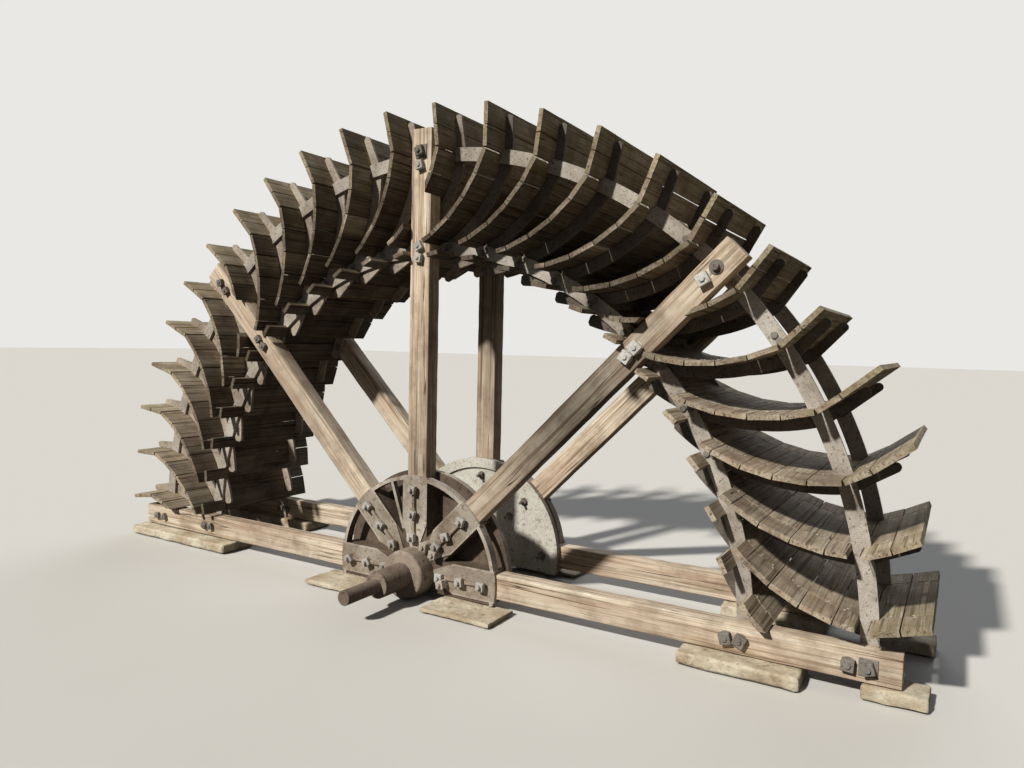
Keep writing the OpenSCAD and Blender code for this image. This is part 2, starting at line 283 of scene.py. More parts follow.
# stained (below 0) and bleached (above 0) stretches of an arm: distance from the axle, reach and strength
STAINS = {("near", "upper_right"): ((1.43, 0.48, -0.68), (2.55, 0.30, 0.25)),
          ("near", "top"): ((2.05, 0.75, 0.40), (0.55, 0.25, -0.20)),
          ("near", "upper_left"): ((1.35, 0.45, -0.20),),
          ("far", "top"): ((2.20, 1.20, -0.42),),
          ("far", "upper_right"): ((1.05, 0.60, 0.36),)}
for side in ("near", "far"):
    for count, (place, angle) in enumerate(ARMS.items()):
        bpy.ops.object.select_all(action="DESELECT")
        arm = twin(beam)
        arm.name = "%s_beam_%s" % (side, place)
        bpy.context.view_layer.objects.active = arm
        arm.select_set(True)
        seed = random.Random(40 + count + (7 if side == "far" else 0))
        shift = Vector((seed.uniform(0, 30), seed.uniform(0, 3), seed.uniform(0, 3)))
        mark(arm, "grain", [c for v in arm.data.vertices for c in v.co + shift], "FLOAT_VECTOR")
        base = ARM_TONES[place] * seed.uniform(0.95, 1.03)
        stretches = STAINS.get((side, place), ())
        mark(arm, "tone", [base * (1 + sum(strength * math.exp(-((v.co.x - at) / reach) ** 2)
                                           for at, reach, strength in stretches)) for v in arm.data.vertices])
        mark(arm, "rim", [0.0] * len(arm.data.vertices))
        if side == "far":
            arm.scale = (1, -1, 1)
            settle()
            bpy.ops.object.mode_set(mode="EDIT")
            bpy.ops.mesh.select_all(action="SELECT")
            bpy.ops.mesh.normals_make_consistent(inside=False)
            bpy.ops.object.mode_set(mode="OBJECT")
        arm.rotation_euler = (0, -math.radians(angle), 0)
        arm.location = (0, 0, AXLE)
        settle()
        roughen(arm, clouds, 0.005, 0.95)
        bpy.ops.object.shade_smooth_by_angle(angle=math.radians(35))
        arm.data.materials.append(oak)
        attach(arm, "root")
        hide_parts("%s_arm_%s" % (side, place))
bpy.data.objects.remove(beam)


# The blades: each is eight rows of sawn boards nailed across two iron bearers, two straight rows at the
# rim and six that follow a curve. A row has a long board and a short one at either end, and the short
# ones are notched round the rings and the raised arms.
TIP, KNEE, LIP = Vector((2.765, 0)), Vector((2.517, -0.042)), Vector((1.832, 0.486))
CURVE = 0.920
BOARD_THICK, BOARD_END, BOARD_JOINT, BOARD_CRACK = 0.027, 0.495, 0.2985, 0.002
BLADES, PITCH, FIRST = 24, 7.5, 180 - 2.72
SAWN = AXLE + 0.0825
# by the blade's number: how much longer its rim row is, and how far that row curls up, in degrees
LONGER = {1: -0.04, 2: -0.04, 21: 0.082, 22: 0.082}
CURLED = {21: 3.0, 22: 8.0, 23: 5.0, 24: 1.5}
# painted shade darkens the faces of the upper blades, and of the inner boards of the first ones, which are numbered
# from the left
PAINTED_SHADE_BY_BLADE = {**dict.fromkeys(range(8, 18), 1.0), 6: 0.3, 7: 0.6, 18: 0.9, 19: 0.6, 20: 0.3}
PAINTED_SHADE_INSIDE, INSIDE, INSIDE_FADE, FIRST_ONES = 0.85, 2.35, 0.3, 8
RIM, RIM_FADE = 2.15, 0.6
chord = LIP - KNEE
chord_side = Vector((chord.y, -chord.x)).normalized()
CENTRE = (KNEE + LIP) / 2 + math.sqrt(CURVE ** 2 - (chord.length / 2) ** 2) * chord_side
half_span = math.asin(chord.length / 2 / CURVE)
outward = (TIP - KNEE).normalized()
# each row's middle, its direction and its width, from the rim inwards
stations = []
for step in (0.25, 0.75):
    stations.append((TIP.lerp(KNEE, step), outward.copy(), (TIP - KNEE).length / 2))
start = math.atan2(KNEE.y - CENTRE.y, KNEE.x - CENTRE.x)
for step in range(6):
    turn = start - half_span * (step + 0.5) / 3
    middle = CENTRE + CURVE * math.cos(half_span / 6) * Vector((math.cos(turn), math.sin(turn)))
    stations.append((middle, Vector((-math.sin(turn), math.cos(turn))), 2 * CURVE * math.sin(half_span / 6)))

# oak boards: brown-grey, each a little lighter or darker than the next, lichen towards the rim, and painted shade on
# the upper blades
boards_oak = old_wood("weathered oak boards with painted shade", ("#d8ccb6", "#ab9a82", "#5f4f40", "#a98f7b", "#17110c"), 15, 0.008, 0.6)


def sawn_board(length, cuts):
    """One board a metre wide, cut into short stretches along its length, to be scaled to its row."""
    made = block((1, length, BOARD_THICK), (0, 0, 0))
    pick_edges(made, lambda a, b: abs(a.y - b.y) > length / 2)
    bpy.ops.mesh.subdivide(number_cuts=cuts)
    bpy.ops.object.mode_set(mode="OBJECT")
    return made


long_length = 2 * (BOARD_JOINT - BOARD_CRACK / 2)
short_length = BOARD_END - BOARD_JOINT - BOARD_CRACK / 2
boards = {"middle": (sawn_board(long_length, 11), 0),
          "near": (sawn_board(short_length, 3), short_length / 2 - BOARD_END),
          "far": (sawn_board(short_length, 3), BOARD_END - short_length / 2)}


def ring_cutter(inner, outer, low, high):
    """A flat ring with a square section, used as a cutter where a blade's boards clear an iron ring."""
    bpy.ops.object.select_all(action="DESELECT")
    bpy.ops.mesh.primitive_circle_add(vertices=256, radius=inner, fill_type="NOTHING", location=(0, 0, AXLE),
                                      rotation=(math.radians(90), 0, 0))
    made = bpy.context.object
    settle()
    bpy.ops.object.mode_set(mode="EDIT")
    bpy.ops.mesh.select_all(action="SELECT")
    bpy.ops.mesh.extrude_region_move()
    bpy.ops.transform.resize(value=(outer / inner, 1, outer / inner), center_override=(0, 0, AXLE))
    bpy.ops.mesh.select_all(action="SELECT")
    bpy.ops.mesh.extrude_region_move(TRANSFORM_OT_translate={"value": (0, high - low, 0)})
    bpy.ops.mesh.select_all(action="SELECT")
    bpy.ops.transform.translate(value=(0, low, 0))
    bpy.ops.mesh.normals_make_consistent(inside=False)
    bpy.ops.object.mode_set(mode="OBJECT")
    return made


def bar_cutter(angle, low, high):
    """A long square bar along an arm, used as a cutter where a blade's boards clear the arm."""
    made = block((2.0, high - low, ARM_WIDE + 0.006), (2.1, (high + low) / 2, 0))
    made.rotation_euler = (0, -math.radians(angle), 0)
    made.location = (0, 0, AXLE)
    settle()
    return made


def carve(piece, cutter):
    """Cuts one shape out of a blade's boards."""
    bpy.context.view_layer.objects.active = piece
    cut = piece.modifiers.new("notch", "BOOLEAN")
    cut.operation, cut.solver, cut.object = "DIFFERENCE", "EXACT", cutter
    bpy.ops.object.modifier_apply(modifier=cut.name)


def joined(pieces, name):
    """Joins pieces into one object, with each piece's place kept in its mesh."""
    bpy.ops.object.select_all(action="DESELECT")
    for piece in pieces:
        piece.select_set(True)
    bpy.context.view_layer.objects.active = pieces[0]
    settle()
    if len(pieces) > 1:
        bpy.ops.object.join()
    made = bpy.context.object
    made.name = name
    return made


OUTER_RING, INNER_RING, RING_HALF = 2.505, 1.950, 0.042
RING_FRONT, RING_BACK = 0.3255, 0.2985
RIM_GAP, PAST = 0.050, 0.520
cutters = {}
for side, sign in (("near", -1), ("far", 1)):
    slot = sorted((sign * RING_FRONT, sign * RING_BACK))
    through = sorted((sign * PAST, sign * (RING_FRONT - 0.003)))
    cutters[side, "outer"] = ring_cutter(OUTER_RING - RING_HALF, OUTER_RING + RING_HALF, *slot)
    cutters[side, "inner"] = ring_cutter(INNER_RING - RING_HALF, INNER_RING + RING_HALF, *slot)
    for angle in (45, 90, 135):
        cutters[side, angle] = bar_cutter(angle, *through)
cutters["near", "rim gap"] = ring_cutter(OUTER_RING - RING_HALF - 0.001, OUTER_RING - RING_HALF + RIM_GAP,
                                         -PAST, -RING_BACK)
# the near end of each blade stops short by the inner ring: a square gap from inside the last row but one
# to inside the last row
GAP_FROM, GAP_TO, GAP_THICK = 0.010, 0.007, 0.12
gap_from = stations[6][0] + stations[6][1] * GAP_FROM
gap_to = stations[7][0] + stations[7][1] * GAP_TO
lip_gap = block(((gap_to - gap_from).length, PAST - RING_BACK, GAP_THICK),
                ((gap_from.x + gap_to.x) / 2, -(PAST + RING_BACK) / 2, (gap_from.y + gap_to.y) / 2),
                math.atan2(gap_to.y - gap_from.y, gap_to.x - gap_from.x))
level_cut = block((8, 1.2, 4), (0, 0, SAWN - 2))

mould = bpy.data.textures.new("uneven sawing", "CLOUDS")
mould.noise_scale = 0.06
for number in range(1, BLADES + 2):
    seed = random.Random(500 + number)
    angle = FIRST - PITCH * (number - 1)
    rows = {"middle": [], "near": [], "far": []}
    tones = {}
    for station, (middle, run, width) in enumerate(stations):
        curl = math.radians(CURLED.get(number, seed.uniform(0, 1.2))) if station == 0 else 0
        longer = LONGER.get(number, 0) if station == 0 else 0
        knee_room = {1: 0.0026, 2: -0.0026}.get(station, 0)
        row_tone = seed.uniform(0.78, 1.08)
        for part, (board, y) in boards.items():
            one = twin(board)
            tilt = math.atan2(run.y, run.x) + math.radians(seed.uniform(-0.5, 0.5)) + curl
            near_edge = middle - run * width / 2
            reach = Vector((math.cos(tilt), math.sin(tilt)))
            centre = near_edge + reach * (width + longer) / 2 + run * knee_room / 2
            narrower = abs(knee_room) + seed.uniform(0.003, 0.006)
            shorter = seed.uniform(0.0, 0.002 if part == "middle" else 0.012)
            slide = {"middle": 0, "near": 1, "far": -1}[part] * shorter * short_length / 2
            one.scale = (width + longer - narrower, 1 - shorter, 1)
            one.rotation_euler = (0, -tilt, 0)
            one.location = (centre.x, y + slide, centre.y + seed.uniform(-0.0009, 0.0009))
            rows[part].append(one)
            tones[station, part] = row_tone * seed.uniform(0.93, 1.07)
    for part, made in rows.items():
        rows[part] = joined(made, part)
        if part == "near":
            carve(rows[part], lip_gap)
        rows[part].rotation_euler = (0, -math.radians(angle), 0)
        rows[part].location = (0, 0, AXLE)
        settle()
        if part != "middle":
            used = [cutters[part, "inner"], cutters[part, "outer"]]
            if part == "near" and number >= BLADES - 1:
                used.append(cutters["near", "rim gap"])
            used += [cutters[part, a] for a in (45, 90, 135) if -7 < angle - a < 24]
            for cutter in used:
                carve(rows[part], cutter)
        if number in (1, 2, 3, BLADES + 1):
            carve(rows[part], level_cut)
    blade = joined(list(rows.values()), "boards_%02d" % number)
    ease(blade, 0.0025, 1, 50)
    flat = Matrix.Rotation(math.radians(angle), 4, "Y") @ Matrix.Translation((0, 0, -AXLE))
    shifts = {place: Vector((seed.uniform(0, 30), seed.uniform(0, 9), seed.uniform(0, 9))) for place in tones}
    grains, toned, rims, painted_shades = [], [], [], []
    for vertex in blade.data.vertices:
        p = flat @ vertex.co
        q = Vector((p.x, p.z))
        near = min(range(len(stations)), key=lambda s: (q - stations[s][0]).length)
        part = "middle" if abs(p.y) < BOARD_JOINT else ("near" if p.y < 0 else "far")
        run = stations[near][1]
        gone = q - stations[near][0]
        on_board = Vector((p.y, gone.dot(run), gone.dot(Vector((-run.y, run.x)))))
        grains.extend(on_board + shifts[near, part])
        toned.append(tones[near, part])
        rims.append(min(max((q.length - RIM) / RIM_FADE, 0), 1))
        # painted shade, by blade and towards the axle on the first blades; the sawn edges are left out of it and stay
        # light
        inner = PAINTED_SHADE_INSIDE * min(max((INSIDE - q.length) / INSIDE_FADE, 0), 1) if number <= FIRST_ONES else 0
        on_edge = abs(on_board.z) < BOARD_THICK / 2 - 0.0013
        painted_shades.append(0 if on_edge else max(PAINTED_SHADE_BY_BLADE.get(number, 0) * (1 - rims[-1]), inner))
    mark(blade, "grain", grains, "FLOAT_VECTOR")
    mark(blade, "tone", toned)
    mark(blade, "rim", rims)
    mark(blade, "painted_shade", painted_shades)
    roughen(blade, mould, 0.002, 1.0)
    blade.data.materials.clear()
    blade.data.materials.append(boards_oak)
    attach(blade, "root")
    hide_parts("cut_blade" if number > BLADES else "blade_%02d" % number)
for spare in [*cutters.values(), lip_gap, level_cut, *(board for board, y in boards.values())]:
    bpy.data.objects.remove(spare)


# The nails: hand-driven, with flat round heads about 13 mm across, gone pale with weather. A row of
# boards has one or two on either side of each joint, where the boards cross a bearer.
def old_iron(name, colours, speck_mm, rust, metal=0.0, shade=None):
    """Weathered iron: a base tone, brown rust in patches and specks, and a pitted skin."""
    iron, tree = blank_material(name)
    light, base, brown = (linear(c) for c in colours)
    place = add(tree, "ShaderNodeTexCoord", {}, {}).outputs["Object"]
    clouded, specks, blotched = (
        add(tree, "ShaderNodeTexNoise", {},
            {"Vector": place, "Scale": scale, "Detail": detail, "Roughness": roughness}).outputs[0]
        for scale, detail, roughness in ((4.0, 8.0, 0.66), (1000 / speck_mm, 4.0, 0.7), (250 / speck_mm, 4.0, 0.65)))
    # coats over the base tone: pattern, the values at which it starts and is full, its most, its colour
    colour = base
    for pattern, starts, full, most, coat in (
            (clouded, 0.36, 0.62, 1.0, light), (specks, 0.46, 0.36, 0.65, brown), (blotched, 0.44, 0.34, rust, brown)):
        amount = add(tree, "ShaderNodeMapRange", {},
                     {"Value": pattern, "From Min": starts, "From Max": full, "To Max": most})
        colour = add(tree, "ShaderNodeMix", {"data_type": "RGBA"},
                     {"Factor": amount.outputs[0], 6: colour, 7: coat}).outputs[2]
    # the caller's change to the colour: real browning on the hub plates, painted shade on the bearers
    if shade:
        colour = shade(tree, place, colour)
    uneven = add(tree, "ShaderNodeMath", {"operation": "MULTIPLY_ADD"}, {0: blotched, 1: 1.5, 2: specks})
    weathered(tree, colour, uneven.outputs[0], strength=0.5, depth=0.002, roughness=0.75, specular=0.25, metal=metal)
    return iron


def raised(corners, radius, depth, eased):
    """A round or many-sided head that stands out from the wheel's plane towards -Y, with eased edges."""
    bpy.ops.object.select_all(action="DESELECT")
    bpy.ops.mesh.primitive_circle_add(vertices=corners, radius=radius, fill_type="NGON",
                                      rotation=(math.radians(90), 0, 0))
    made = bpy.context.object
    settle()
    bpy.ops.object.mode_set(mode="EDIT")
    bpy.ops.mesh.select_all(action="SELECT")
    bpy.ops.mesh.extrude_region_move(TRANSFORM_OT_translate={"value": (0, -depth, 0)})
    bpy.ops.mesh.select_all(action="SELECT")
    bpy.ops.mesh.normals_make_consistent(inside=False)
    bpy.ops.object.mode_set(mode="OBJECT")
    ease(made, eased, 2, 50)
    return made


def stacked(heads, name):
    """Heads, nuts and washers along one bolt: corners, radius, depth, eased edge, distance out and turn."""
    pieces = []
    for corners, radius, depth, eased, out, spin in heads:
        pieces.append(raised(corners, radius, depth, eased))
        pieces[-1].location = (0, -out, 0)
        pieces[-1].rotation_euler = (0, math.radians(spin), 0)
    return joined(pieces, name)


def spot(angle, radius, y, spin=0, far=False):
    """The place at an angle and radius round the axle; the far side is the near side's mirror image."""
    side = Matrix.Diagonal((1, -1 if far else 1, 1, 1))
    around = Matrix.Translation((0, 0, AXLE)) @ Matrix.Rotation(-math.radians(angle), 4, "Y")
    return side @ around @ Matrix.Translation((radius, y, 0)) @ Matrix.Rotation(math.radians(spin), 4, "Y")


def copies(master, places, name, material):
    """Copies one modelled piece to each place, joins the copies and hands them to the wheel."""
    made = []
    for place in places:
        one = twin(master)
        one.data.transform(place)
        if place.determinant() < 0:
            one.data.flip_normals()
        made.append(one)
    made = joined(made, name)
    made.data.materials.clear()
    made.data.materials.append(material)
    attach(made, "root")
    return made


# nail iron: pale grey zinc-like weathering on flat heads, a little rust
nail_iron = old_iron("weathered nail iron", ("#c9c4ba", "#a49c90", "#6b5340"), 4, 0.4, metal=0.1)
nail = raised(8, 0.0065, 0.003, 0.001)
NAIL_SINK, NAIL_ASIDE, ONE_ALONE = 0.001, 0.012, 0.6
RING_ROOM, ARM_ROOM, SAWN_ROOM = 0.010, 0.015, 0.012
nail_places = []
for number in range(1, BLADES + 2):
    seed = random.Random(900 + number)
    blade_turn = Matrix.Rotation(-math.radians(FIRST - PITCH * (number - 1)), 4, "Y")
    for middle, run, width in stations:
        hollow = Vector((-run.y, run.x))
        for side in (-1, 1):
            for inward in (-1, 1):
                for along in ([seed.uniform(-0.3, 0.3)] if seed.random() < ONE_ALONE else
                              [seed.uniform(-0.34, -0.15), seed.uniform(0.15, 0.34)]):
                    face = middle + run * width * along + hollow * (BOARD_THICK / 2 - NAIL_SINK)
                    y = side * (BOARD_JOINT - inward * (NAIL_ASIDE + seed.uniform(0, 0.006)))
                    where = blade_turn @ Vector((face.x, y, face.y))
                    bearing = math.degrees(math.atan2(where.z, where.x))
                    in_ring = min(abs(face.length - OUTER_RING), abs(face.length - INNER_RING)) < RING_HALF + RING_ROOM
                    by_arm = min(abs(math.sin(math.radians(bearing - a))) * face.length for a in ARMS.values())
                    if inward < 0 and (in_ring or by_arm < ARM_WIDE / 2 + ARM_ROOM):
                        continue
                    if where.z + AXLE < SAWN + SAWN_ROOM:
                        continue
                    facing = Vector((0, -1, 0)).rotation_difference(Vector((hollow.x, 0, hollow.y)))
                    nail_places.append(Matrix.Translation((0, 0, AXLE)) @ blade_turn
                                       @ Matrix.Translation((face.x, y, face.y)) @ facing.to_matrix().to_4x4())
copies(nail, nail_places, "board_nails", nail_iron)
bpy.data.objects.remove(nail)


# The arm bolts: two at each crossing of an arm and a ring. Outside is a heavy square nut on a plate or
# round washer, turned as it happened to be tightened; behind the ring is a low square head.
# forged iron: dark grey-brown with rust in the corners
forged = old_iron("forged bolt iron", ("#8f8a83", "#645d55", "#43332a"), 6, 0.7)
# newer forged iron: pale grey, as on the arms whose bolts were renewed
renewed = old_iron("renewed bolt iron", ("#d3d2cc", "#a5a19a", "#5f5045"), 6, 0.5)
SQUARE = math.sqrt(2) / 2
nut = stacked(((4, 0.094 * SQUARE, 0.007, 0.0015, -0.001, 45), (4, 0.064 * SQUARE, 0.036, 0.004, 0.006, 28),
               (12, 0.0155, 0.014, 0.003, 0.041, 0)), "square nut on a plate")
plain_nut = stacked(((20, 0.038, 0.006, 0.0015, -0.001, 0), (4, 0.066 * SQUARE, 0.034, 0.004, 0.005, 45),
                     (12, 0.0155, 0.010, 0.003, 0.038, 0)), "square nut on a round washer")
bare_end = stacked(((20, 0.040, 0.006, 0.0015, -0.001, 0), (12, 0.020, 0.026, 0.004, 0.004, 0)),
                   "bolt end without its nut")
bolt_head = raised(4, 0.050 * SQUARE, 0.020, 0.003)
ARM_BOLTS = (2.512, 2.430, 1.955, 1.886)
NUT_SIZES = {"right": 0.85, "upper_right": 0.92, "top": 0.78, "upper_left": 0.70, "left": 0.66}
PLATE_NUT_SIZE = 0.85
ARM_FACE, RING_FACE = -(ARM_FRONT - 0.001), -0.303
BACKWARDS = Matrix.Rotation(math.radians(180), 4, "Z")
for side in ("near", "far"):
    seed = random.Random(61 if side == "near" else 62)
    far = side == "far"
    plates, rounds, bare, heads, pale_ones = [], [], [], [], []
    for place, angle in ARMS.items():
        for radius in ARM_BOLTS:
            spin = seed.uniform(-40, 40)
            where = spot(angle, radius, ARM_FACE, spin, far) @ Matrix.Scale(NUT_SIZES[place], 4)
            if side == "near" and place == "upper_right" and radius == ARM_BOLTS[0]:
                bare.append(where)
            elif place in ("right", "top") and radius == ARM_BOLTS[0]:
                plates.append(spot(angle, radius, ARM_FACE, 0, far) @ Matrix.Scale(PLATE_NUT_SIZE, 4))
            elif place in ("upper_right", "top"):
                pale_ones.append(where)
            else:
                rounds.append(where)
            heads.append(spot(angle, radius, RING_FACE, spin, far) @ BACKWARDS)
    copies(nut, plates, "%s_plate_nuts" % side, forged)
    copies(plain_nut, rounds, "%s_nuts" % side, forged)
    copies(plain_nut, pale_ones, "%s_renewed_nuts" % side, renewed)
    copies(bolt_head, heads, "%s_bolt_heads" % side, forged)
    if bare:
        copies(bare_end, bare, "%s_bolt_end" % side, forged)
for spare in (nut, plain_nut, bare_end, bolt_head):
    bpy.data.objects.remove(spare)


# The ring bolts: two that hold each bearer to a ring where they cross, side by side along the ring.
# Each has a round head on the ring's face and a six-sided nut on the bearer's back.
BEARER_MIDDLE = CURVE + 0.0143 + 0.032
RING_OUT, BEARER_BACK, BOLT_SINK = -0.323, -0.285, 0.001
BOLT_ASIDE, BOLT_LOWEST = 0.019, 0.09
ring_head = raised(12, 0.0175, 0.013, 0.004)
ring_nut = stacked(((6, 0.0175, 0.015, 0.0015, 0, 0), (10, 0.009, 0.010, 0.0015, 0.014, 0)), "nut")
apart = CENTRE.length
for side in ("near", "far"):
    heads, nuts = [], []
    for number in range(1, BLADES + 2):
        angle = FIRST - PITCH * (number - 1)
        for ring in (OUTER_RING, INNER_RING):
            cosine = (BEARER_MIDDLE ** 2 + apart ** 2 - ring ** 2) / (2 * BEARER_MIDDLE * apart)
            away = math.atan2(-CENTRE.y, -CENTRE.x) - math.acos(max(-1, min(1, cosine)))
            if not -math.pi < away < 0:
                away = away - 2 * math.pi
            for step in (-BOLT_ASIDE, BOLT_ASIDE):
                p = CENTRE + (BEARER_MIDDLE + step) * Vector((math.cos(away), math.sin(away)))
                bearing = angle + math.degrees(math.atan2(p.y, p.x))
                if math.sin(math.radians(bearing)) * p.length < BOLT_LOWEST:
                    continue
                heads.append(spot(bearing, p.length, RING_OUT + BOLT_SINK, 0, side == "far"))
                nuts.append(spot(bearing, p.length, BEARER_BACK - BOLT_SINK, 0, side == "far") @ BACKWARDS)
    copies(ring_head, heads, "%s_ring_bolt_heads" % side, forged)
    copies(ring_nut, nuts, "%s_ring_bolt_nuts" % side, forged)
for spare in (ring_head, ring_nut):
    bpy.data.objects.remove(spare)


# The rings and bearers: flat bar, bent to its curve, pale grey where the old paint has bleached, with
# rust specks. They keep the CAD model's shapes.
def painted_shade_to_the_right(tree, place, colour):
    """Painted shade: darkens the bearers from the middle of the wheel to the right, where they lie in shade under the
    boards.
    """
    across = add(tree, "ShaderNodeSeparateXYZ", {}, {0: place})
    darker = add(tree, "ShaderNodeMapRange", {},
                 {"Value": across.outputs[0], "From Min": -0.1, "From Max": 0.5, "To Min": 1.0, "To Max": 0.38})
    return add(tree, "ShaderNodeHueSaturation", {}, {"Value": darker.outputs[0], "Color": colour}).outputs[0]


# flat bar iron: pale grey-beige, finely speckled with rust
bar_iron = old_iron("weathered bar iron", ("#c2bbb0", "#8f857a", "#4f3e33"), 4, 0.7)
# bent bearer bar: the same iron, browner, and darkened under the right-hand boards with painted shade
bearer_iron = old_iron("rusted bearer iron with painted shade", ("#b8ad9e", "#85786b", "#4d3b2e"), 5, 0.7, shade=painted_shade_to_the_right)
# the bearers take the iron that carries painted shade
for name, node in nodes.items():
    if "ring" in name or "bearers" in name:
        node.data.materials.clear()
        node.data.materials.append(bearer_iron if "bearers" in name else bar_iron)


# The hubs: each a sand-cast half disc with five pockets that hold the arms' inner ends, closed in front
# by plates with a raised wavy rib and three bolts. Their cast edges are rounded.
DISC_FACE, BOSS, BOSS_FRONT, BOSS_ROUND = 0.560, 0.146, 0.560, 0.020
PLATE_FRONT, PLATE_HALF, PLATE_FADE = -0.442, 0.078, 0.008
HOLLOW = (0.300, 0.440)


def merged(node, name):
    """A copy of a CAD piece as whole faces, which takes that piece's place."""
    bpy.ops.object.select_all(action="DESELECT")
    made = twin(node)
    made.name = name
    made.select_set(True)
    bpy.context.view_layer.objects.active = made
    bpy.ops.object.mode_set(mode="EDIT")
    bpy.ops.mesh.select_all(action="SELECT")
    bpy.ops.mesh.remove_doubles(threshold=0.00005)
    bpy.ops.mesh.dissolve_limited(angle_limit=math.radians(0.5))
    bpy.ops.object.mode_set(mode="OBJECT")
    return made


def soften(made, width):
    """Rounds a casting's or forging's sharp edges, and shades its flat faces flat."""
    ease(made, width, 2, 40)
    bpy.ops.object.shade_smooth_by_angle(angle=math.radians(35))
    evened = made.modifiers.new("even shading", "WEIGHTED_NORMAL")
    evened.keep_sharp = True
    bpy.ops.object.modifier_apply(modifier=evened.name)


def browner_plates(tree, place, colour):
    """Browns the plates, all but the upright one, by how near a point lies to a plate's middle line."""
    from_axle = add(tree, "ShaderNodeVectorMath", {"operation": "SUBTRACT"}, {0: place, 1: (0, 0, AXLE)})
    nearest = 1.0
    for angle in (0, 45, 135):
        across = (-math.sin(math.radians(angle)), 0, math.cos(math.radians(angle)))
        off = add(tree, "ShaderNodeVectorMath", {"operation": "DOT_PRODUCT"}, {0: from_axle.outputs[0], 1: across})
        away = add(tree, "ShaderNodeMath", {"operation": "ABSOLUTE"}, {0: off.outputs["Value"]})
        nearest = add(tree, "ShaderNodeMath", {"operation": "MINIMUM"}, {0: nearest, 1: away.outputs[0]}).outputs[0]
    value, warmth = (
        add(tree, "ShaderNodeMapRange", {},
            {"Value": nearest, "From Min": PLATE_HALF, "From Max": PLATE_HALF + PLATE_FADE,
             "To Min": on_plate, "To Max": 1.0}).outputs[0] for on_plate in (0.72, 1.25))
    return add(tree, "ShaderNodeHueSaturation", {}, {"Saturation": warmth, "Value": value, "Color": colour}).outputs[0]


# cast iron: grey-brown, sand-pitted, with old rust in the hollows
CAST = ("#bfb7ab", "#8b7e70", "#5f4a39")
cast_iron = old_iron("weathered sand-cast iron", CAST, 7, 0.6)
# old whitewash: pale and chalky on the hubs' inner faces, worn through to iron in places
whitened = old_iron("old whitewash on cast iron", ("#d6d4cb", "#bcb8ad", "#6a5443"), 7, 0.5)
# hollows: the same castings, rust-brown between the pockets where no rain washes them, and made darker still with
# painted shade
shaded_hollow_iron = old_iron("rusted hollows of cast iron with painted shade", ("#6e6053", "#4a3e35", "#2b211b"), 7, 0.7)
# browned boss and ribs: the same castings, rust-brown where rain runs over them
browned_iron = old_iron("browned sand-cast iron", ("#a5988a", "#766757", "#4c3a2c"), 7, 0.7)
# the hub's front: cast iron too, browner on all the plates but the upright one
front_iron = old_iron("browned plates of cast iron", CAST, 7, 0.6, shade=browner_plates)
HUB_SKINS = {"cast": cast_iron, "whitewash": whitened, "hollow": shaded_hollow_iron, "boss": browned_iron, "front": front_iron}
axle_height = Vector((0, 0, AXLE))
for side in ("near", "far"):
    hub = merged(nodes["%s_hub" % side], "%s_casting" % side)
    pick_edges(hub, lambda *ends: all(abs(abs(v.y) - BOSS_FRONT) < 0.001 and
                                      abs((v - axle_height).xz.length - BOSS) < 0.002 for v in ends))
    bpy.ops.mesh.bevel(offset=BOSS_ROUND, segments=5, affect="EDGES")
    bpy.ops.object.mode_set(mode="OBJECT")
    soften(hub, 0.004)
    hub.data.materials.clear()
    for skin in HUB_SKINS.values():
        hub.data.materials.append(skin)
    for face in hub.data.polygons:
        deep, radius = abs(face.center.y), (face.center - axle_height).xz.length
        inward = face.normal.y * (1 if side == "near" else -1) > 0.9
        kind = "cast"
        if deep > -PLATE_FRONT + 0.010:
            kind = "boss"
        elif deep > -PLATE_FRONT - 0.006 and abs(face.normal.y) > 0.5:
            kind = "front"
        elif BOSS + 0.005 <= radius <= DISC_FACE + 0.010:
            if inward and deep < HOLLOW[0] + 0.010:
                kind = "whitewash"
            # the pockets' deep hollows take the iron darkened with painted shade
            elif not inward and HOLLOW[0] < deep < HOLLOW[1]:
                kind = "hollow"
        face.material_index = list(HUB_SKINS).index(kind)
    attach(hub, "root")
    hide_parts("%s_hub" % side)

# The rib cast along the middle of each pocket's plate: narrow between the bolts and swollen round them.
# With it come the thin web between two plates, the nuts, the lugs and the bolt ends on the inner face.
RIB_HIGH, RIB_SINK, RIB_WIDE, RIB_STRETCHES = 0.018, 0.003, 0.020, 33
RIB_IN, RIB_OUT = 0.188, 0.518
PLATE_BOLTS, SWELL, SWELL_REACH = (0.208, 0.352, 0.500), 0.95, 0.026
rib = block((RIB_OUT - RIB_IN, RIB_HIGH + RIB_SINK, RIB_WIDE),
            ((RIB_OUT + RIB_IN) / 2, PLATE_FRONT - (RIB_HIGH - RIB_SINK) / 2, 0))
pick_edges(rib, lambda a, b: abs(a.x - b.x) > 0.1)
bpy.ops.mesh.subdivide(number_cuts=RIB_STRETCHES - 1)
bpy.ops.mesh.select_mode(type="VERT")
for step in range(RIB_STRETCHES + 1):
    x = RIB_IN + (RIB_OUT - RIB_IN) * step / RIB_STRETCHES
    swell = 1.0 + max(SWELL * math.exp(-((x - bolt) / SWELL_REACH) ** 2) for bolt in PLATE_BOLTS)
    bpy.ops.mesh.select_all(action="DESELECT")
    bpy.ops.object.mode_set(mode="OBJECT")
    for vertex in rib.data.vertices:
        vertex.select = abs(vertex.co.x - x) < 0.002
    bpy.ops.object.mode_set(mode="EDIT")
    bpy.ops.transform.resize(value=(1, 1, swell), center_override=(x, 0, 0))
bpy.ops.object.mode_set(mode="OBJECT")
ease(rib, 0.004, 2, 50)
bpy.ops.object.shade_smooth_by_angle(angle=math.radians(35))

